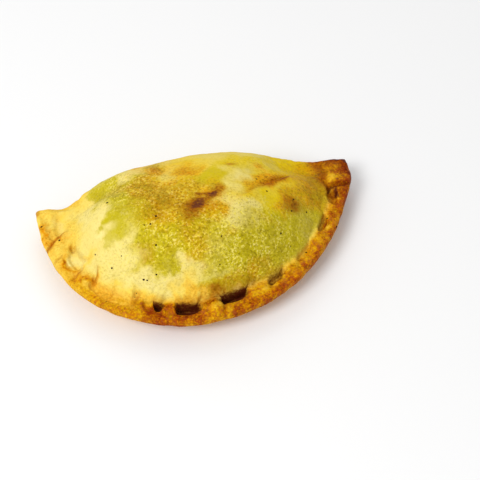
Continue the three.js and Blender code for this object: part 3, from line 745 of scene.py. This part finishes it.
def bakedCrust():
    # colours laid over one another by their masks: gold, olive, yellow, pale, flecks, toast, brown, scorch;
    # toast, brown and scorch also lay painted shade
    material, tree, shader = newMaterial("bakedCrust")
    grain = placeGrain(tree, finish["mottleSize"], finish["grainSize"], finish["dotSize"])
    patches, fine = grain["Patches"], grain["Grain"]

    def outlined(name):
        # a mask whose outline wanders with the patches, then with the grain
        byPatches, byGrain, steepness = finish["outlines"][name]
        return ragged(ragged(readMask(tree, name), patches, byPatches), fine, byGrain, steepness)

    gold, speckled, toastAndShade = readMask(tree, "gold"), readMask(tree, "dots"), readMask(tree, "toastAndShade")
    goldShare = ragged(gold, patches, finish["goldPatches"])
    goldShare = ragged(goldShare, fine, maths("MULTIPLY_ADD", gold, *finish["goldGrain"]))
    ramp = addNode(tree, "ShaderNodeValToRGB", {"Fac": goldShare})
    stops = ramp.color_ramp.elements
    for place, shade in finish["pastry"][1:-1]:
        stops.new(place)
    for stop, (place, shade) in zip(stops, finish["pastry"]):
        stop.position = place
        stop.color = linear(shade)
    colour = ramp.outputs[0]
    oliveTone = layer(ragged(patches, fine, finish["oliveMix"]), linear(finish["olive"]),
                      linear(finish["oliveLight"]))
    oliveShare = outlined("olive")
    colour = layer(oliveShare, colour, oliveTone)
    yellowShare = ragged(readMask(tree, "yellow"), patches, finish["yellowPatches"])
    colour = layer(yellowShare, colour, linear(finish["yellow"]))
    paleShare = ragged(readMask(tree, "pale"), fine, finish["paleGrain"])
    colour = layer(paleShare, colour, linear(finish["pale"]))

    # dark flecks and blotches, then toast with its painted shade
    darkened = maths("MAXIMUM", maths("MULTIPLY", speckled, finish["darkOnDots"]),
                     maths("POWER", gold, finish["darkOnGoldPower"]))
    darkened = maths("MAXIMUM", darkened, toastAndShade)
    darkShare = maths("MULTIPLY", grain["Dark Flecks"], maths("MULTIPLY_ADD", darkened, *finish["darkFlecks"]))
    darkShare = maths("MULTIPLY", darkShare, finish["darkStrength"])
    colour = layer(darkShare, colour, finish["speckle"], "MULTIPLY")
    blotched = maths("MULTIPLY", ranged(patches, *finish["blotchLimits"]), darkened)
    blotched = maths("MULTIPLY", blotched, finish["blotches"])
    colour = layer(blotched, colour, finish["speckle"], "MULTIPLY")
    uneven = maths("MULTIPLY_ADD", toastAndShade, *finish["toastAndShadeGrain"])
    toastAndShadeShare = ragged(toastAndShade, patches, maths("MULTIPLY", uneven, finish["toastAndShadePatches"]))
    toastAndShadeShare = ragged(toastAndShadeShare, fine, uneven)
    colour = layer(toastAndShadeShare, colour, finish["toastAndShade"], "MULTIPLY")

    # light flecks, then brown and scorched places, with their painted shade
    lightShare = maths("MULTIPLY", maths("MULTIPLY", grain["Light Flecks"], speckled), finish["lightStrength"])
    fleckTone = layer(ragged(patches, fine, *finish["paleDotMix"]), linear(finish["dots"]),
                      linear(finish["paleDots"]))
    toastAndShadeOnDots = maths("MULTIPLY", toastAndShadeShare, finish["toastAndShadeOnDots"])
    fleckTone = layer(toastAndShadeOnDots, fleckTone, finish["toastAndShade"], "MULTIPLY")
    colour = layer(lightShare, colour, fleckTone)
    colour = layer(outlined("brown"), colour, finish["brown"], "MULTIPLY")
    scorchAndShadeShare = outlined("scorchAndShade")
    colour = layer(scorchAndShadeShare, colour, linear(finish["scorchAndShade"]))
    tree.links.new(colour, shader.inputs["Base Color"])

    rough = maths("MULTIPLY_ADD", oliveShare, finish["oilyRoughness"] - finish["dryRoughness"],
                  finish["dryRoughness"])
    rough = maths("MULTIPLY_ADD", maths("SUBTRACT", fine, 0.5), finish["roughnessGrain"], rough)
    wet = addNode(tree, "ShaderNodeMix", {"Factor": scorchAndShadeShare, "A": rough, "B": finish["scorchRoughness"]})
    tree.links.new(wet.outputs[0], shader.inputs["Roughness"])
    tree.links.new(maths("MULTIPLY", scorchAndShadeShare, finish["scorchCoat"]), shader.inputs["Coat Weight"])
    for name, value in (("Specular IOR Level", finish["specular"]), ("Specular Tint", finish["specularTint"]),
                        ("Coat Roughness", finish["coatRoughness"])):
        shader.inputs[name].default_value = value
    relief = addNode(tree, "ShaderNodeBump", {"Height": grain["Height"], "Distance": finish["grainHeight"]})
    tree.links.new(relief.outputs[0], shader.inputs["Normal"])
    return material


crustMesh = closedMesh("empanada_crust", points)
giveMasks(crustMesh, masks)
crustPiece = addPiece("empanada_crust", crustMesh, bakedCrust())
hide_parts("empanada")
print("crust made", len(crustMesh.polygons), "faces")


# dark specks baked into the dough: lumpy flattened balls, a few of them scattered at random
specks = dict(
    places=[(-71.6, -10), (-64.8, -21), (-41.8, -21), (-45, -46.7), (-40, -46), (-32.5, -56.3), (-31.3, -57),
            (-27.2, -56.8), (-49.7, -57.5), (-28.5, -40), (-26, -40.6), (-23, -37.5), (2, -52), (-0.5, -59.3),
            (-38.5, 2.4), (-25.4, -49), (-36.5, -57.8), (-37.6, -58.6), (-50.5, -37.5)],
    scattered=10, middle=(38, -34), spread=(24, 20), seed=61,
    radius=(0.24, 0.46), longer=1.2, flatness=0.45, lumps=(0.22, 1.6, 63),
    apart=5, steepest=0.1, longWay=[0.3, 1, 0.1], sides=10, rings=[30, 60, 90, 120, 150],
    dark=(24, 12, 2), lighter=(70, 40, 6), grainSize=0.0003, patchGrains=6, outline=(0.8, 2),
    roughness=0.45, roughnessGrain=0.3, bumpHeight=0.00004,
)


def speckMesh(points, surface):
    # each ball is sunk by half in the nearest point of the crust, flat along the normal there
    count, rng = specks["scattered"], np.random.default_rng(specks["seed"])
    turn, reach = rng.uniform(0, 2 * np.pi, count), np.sqrt(rng.uniform(0, 1, count))
    scattered = np.stack([reach * np.cos(turn), reach * np.sin(turn)], axis=1)
    scattered = scattered * specks["spread"] + specks["middle"]
    places = np.concatenate([np.array(specks["places"]), scattered]) + offset[:2]
    normals = gridNormals(points)
    onTop = surface["top"].astype(bool) & (normals[..., 2] > specks["steepest"])
    ground, facing = points[onTop], normals[onTop]
    nearest = np.argmin(((places[:, None, :] - ground[None, :, :2]) ** 2).sum(axis=2), axis=1)
    middle, up = ground[nearest][:, None, :], facing[nearest][:, None, :]
    side = np.cross(up, specks["longWay"])
    side /= np.linalg.norm(side, axis=2, keepdims=True)
    ahead = np.cross(up, side)

    # one ball: rings of points between two poles
    sides, rings = specks["sides"], len(specks["rings"])
    tilt, around = np.meshgrid(np.radians(specks["rings"]), np.arange(sides) * 2 * np.pi / sides, indexing="ij")
    ball = np.stack([np.sin(tilt) * np.cos(around), np.sin(tilt) * np.sin(around), np.cos(tilt)], axis=2)
    ball = np.concatenate([ball.reshape(-1, 3), [[0, 0, 1], [0, 0, -1]]])
    count, size = len(places), len(ball)
    radius = rng.uniform(*specks["radius"], (count, 1, 1))
    elsewhere = ball[None] + specks["apart"] * rng.normal(size=(count, 1, 3))
    height, *shape = specks["lumps"]
    lumps = 1 + height * waves(elsewhere, *shape)[..., None]
    shaped = ball[None] * radius * lumps
    placed = middle + shaped[..., :1] * side * specks["longer"] + shaped[..., 1:2] * ahead
    placed = placed + shaped[..., 2:] * up * specks["flatness"]

    # the rings run downwards, so the faces wind the other way
    quads, cap, foot = closedFaces(rings, sides)
    shift = np.arange(count)[:, None, None] * size
    turned = (quads[:, [0, 3, 2, 1]], cap[:, [0, 2, 1]], foot[:, ::-1])
    faces = [face for part in turned for face in (part + shift).reshape(-1, part.shape[1]).tolist()]
    return smoothMesh("dark_specks", placed.reshape(-1, 3), faces)


def burntSpeck():
    # nearly black with a lighter brown grain
    material, tree, shader = newMaterial("burntSpeck")
    size = specks["grainSize"]
    grain = placeGrain(tree, size * specks["patchGrains"], size, size)
    lighter = ragged(grain["Patches"], grain["Grain"], *specks["outline"])
    colour = layer(lighter, linear(specks["dark"]), linear(specks["lighter"]))
    tree.links.new(colour, shader.inputs["Base Color"])
    rough = maths("MULTIPLY_ADD", grain["Grain"], specks["roughnessGrain"], specks["roughness"])
    tree.links.new(rough, shader.inputs["Roughness"])
    shader.inputs["Specular IOR Level"].default_value = finish["specular"]
    relief = addNode(tree, "ShaderNodeBump", {"Height": grain["Height"], "Distance": specks["bumpHeight"]})
    tree.links.new(relief.outputs[0], shader.inputs["Normal"])
    return material


speckDots = speckMesh(points, surface)
addPiece("dark_specks", speckDots, burntSpeck())
print("specks made", len(speckDots.polygons), "faces")

# metres, watts and degrees; the view aims some millimetres away from the middle
studio = dict(
    floorSize=6, floorColour=(0.9, 0.9, 0.9, 1), floorRoughness=0.9,
    azimuth=-12.96, elevation=50, distance=0.5347, lens=85.05, aimRight=21.42, aimUp=-17.56,
    lights=dict(keyLight=((-0.62, -0.42, 0.85), 0.5, 7.5), backLight=((0.10, 0.80, 0.75), 0.6, 1.4)),
    lightAim=(0, 0, 0.02), surroundings=0.62,
)

bpy.ops.mesh.primitive_plane_add(size=studio["floorSize"], location=(0, 0, 0))
floor = bpy.context.object
floor.name = "floor"
floorPaint, _, floorShader = newMaterial("floorPaint")
floorShader.inputs["Base Color"].default_value = studio["floorColour"]
floorShader.inputs["Roughness"].default_value = studio["floorRoughness"]
floor.data.materials.append(floorPaint)


def placeCamera():
    # looks at the aim from the distance back along the azimuth and elevation
    az, el = math.radians(studio["azimuth"]), math.radians(studio["elevation"])
    back = Vector((math.sin(az) * math.cos(el), -math.cos(az) * math.cos(el), math.sin(el)))
    right = Vector((math.cos(az), math.sin(az), 0))
    up = back.cross(right)
    aim = (right * studio["aimRight"] + up * studio["aimUp"]) / 1000 + Vector(offset) / 1000
    data = bpy.data.cameras.new("camera")
    data.lens = studio["lens"]
    data.sensor_width = 36
    camera = bpy.data.objects.new("camera", data)
    scene.collection.objects.link(camera)
    camera.location = aim + back * studio["distance"]
    camera.rotation_euler = (-back).to_track_quat("-Z", "Y").to_euler()
    scene.camera = camera


placeCamera()
for name, (position, size, power) in studio["lights"].items():
    data = bpy.data.lights.new(name, "AREA")
    data.size, data.energy = size, power
    light = bpy.data.objects.new(name, data)
    scene.collection.objects.link(light)
    light.location = position
    light.rotation_euler = (Vector(studio["lightAim"]) - Vector(position)).to_track_quat("-Z", "Y").to_euler()
world = bpy.data.worlds.new("world")
world.use_nodes = True
background = world.node_tree.nodes["Background"].inputs
background["Color"].default_value, background["Strength"].default_value = (1, 1, 1, 1), studio["surroundings"]
scene.world = world
scene.view_settings.view_transform = "Standard"
print("floor, camera and lights placed")
